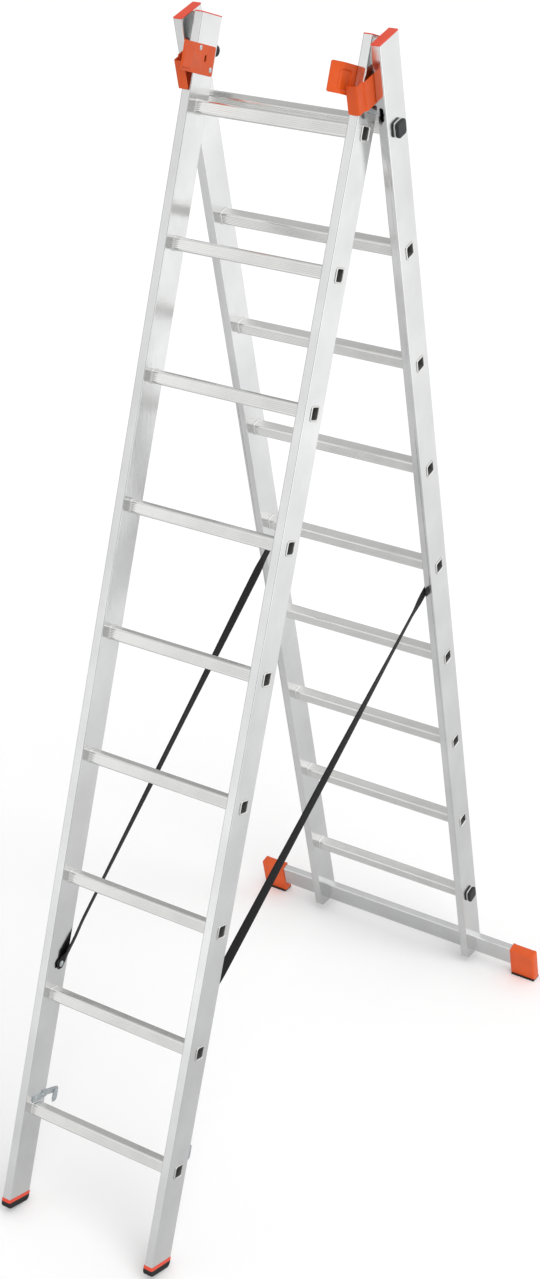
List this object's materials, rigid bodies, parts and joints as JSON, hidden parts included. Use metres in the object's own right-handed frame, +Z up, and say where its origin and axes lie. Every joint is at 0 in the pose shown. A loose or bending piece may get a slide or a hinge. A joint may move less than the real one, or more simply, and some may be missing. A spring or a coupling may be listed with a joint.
{
  "type": "multi position ladder",
  "caption": "Multi position aluminium ladder standing as an A-frame: two hinged sections with limit straps, guide brackets, rung hooks, rubber feet and a stabiliser bar.",
  "frame": {"origin": "on the floor, at the middle of the standing ladder's footprint", "axes": "+Z up; +X along the rungs to the right of a person facing the front section; +Y from the front section towards the back section"},
  "size_m": [0.848, 1.5446, 2.5865],
  "materials": {
    "stile_aluminium": "extruded mill finish, fine lengthwise lines",
    "rung_aluminium": "satin, ribbed along the tread",
    "orange_plastic": "moulded, slightly glossy",
    "orange_steel": "powder coated sheet steel",
    "black_rubber": "moulded rubber",
    "black_plastic": "moulded, fine grain",
    "black_webbing": "woven polyester webbing",
    "rivet_steel": "plain zinc plated",
    "zinc_steel": "zinc plated, dull"
  },
  "bodies": {
    "back_section": {"back_stile_left": "stile_aluminium", "back_stile_right": "stile_aluminium", "back_rung_1": "rung_aluminium", "back_rung_2": "rung_aluminium", "back_rung_3": "rung_aluminium", "back_rung_4": "rung_aluminium", "back_rung_5": "rung_aluminium", "back_rung_6": "rung_aluminium", "back_rung_7": "rung_aluminium", "back_rung_8": "rung_aluminium", "back_rung_9": "rung_aluminium", "back_cap_left": "orange_plastic", "back_cap_right": "orange_plastic", "stabiliser_bar": "stile_aluminium", "bar_shoe_left": "orange_plastic", "bar_shoe_right": "orange_plastic", "bar_sole_left": "black_rubber", "bar_sole_right": "black_rubber", "bar_bolts": "zinc_steel", "bar_nuts": "zinc_steel", "guide_bracket_left": "orange_steel", "guide_bracket_right": "orange_steel", "guide_bracket_rivets": "rivet_steel", "hinge_pins": "zinc_steel", "hinge_spacers": "zinc_steel", "stop_buffers": "black_rubber", "rung_plugs": "black_plastic", "strap_left": "black_webbing", "strap_right": "black_webbing", "strap_rivets_back": "rivet_steel"},
    "front_section": {"front_stile_left": "stile_aluminium", "front_stile_right": "stile_aluminium", "front_rung_1": "rung_aluminium", "front_rung_2": "rung_aluminium", "front_rung_3": "rung_aluminium", "front_rung_4": "rung_aluminium", "front_rung_5": "rung_aluminium", "front_rung_6": "rung_aluminium", "front_rung_7": "rung_aluminium", "front_rung_8": "rung_aluminium", "front_rung_9": "rung_aluminium", "front_cap_left": "orange_plastic", "front_cap_right": "orange_plastic", "front_foot_left": "orange_plastic", "front_foot_right": "orange_plastic", "front_sole_left": "black_rubber", "front_sole_right": "black_rubber", "front_bracket_left": "orange_steel", "front_bracket_right": "orange_steel", "front_bracket_rivets": "rivet_steel", "strap_rivets_front": "rivet_steel", "hook_left": "zinc_steel", "hook_right": "zinc_steel", "hook_rivets": "rivet_steel", "latch_pins": "zinc_steel"},
    "left_latch": {"latch_left": "zinc_steel"},
    "right_latch": {"latch_right": "zinc_steel"}
  },
  "joints": [
    {"name": "fold", "type": "hinge", "parent": "back_section", "child": "front_section", "pos_m": [0, 0.00124, 2.42835], "axis": [1, 0, 0], "range_deg": [0, 31.4], "deforming": ["strap_left", "strap_right"]},
    {"name": "latch_left_swing", "type": "hinge", "parent": "front_section", "child": "left_latch", "pos_m": [-0.18135, -0.59317, 0.24053], "axis": [-1, 0, 0], "range_deg": [0, 30]},
    {"name": "latch_right_swing", "type": "hinge", "parent": "front_section", "child": "right_latch", "pos_m": [0.18135, -0.59317, 0.24053], "axis": [-1, 0, 0], "range_deg": [0, 30]}
  ]
}
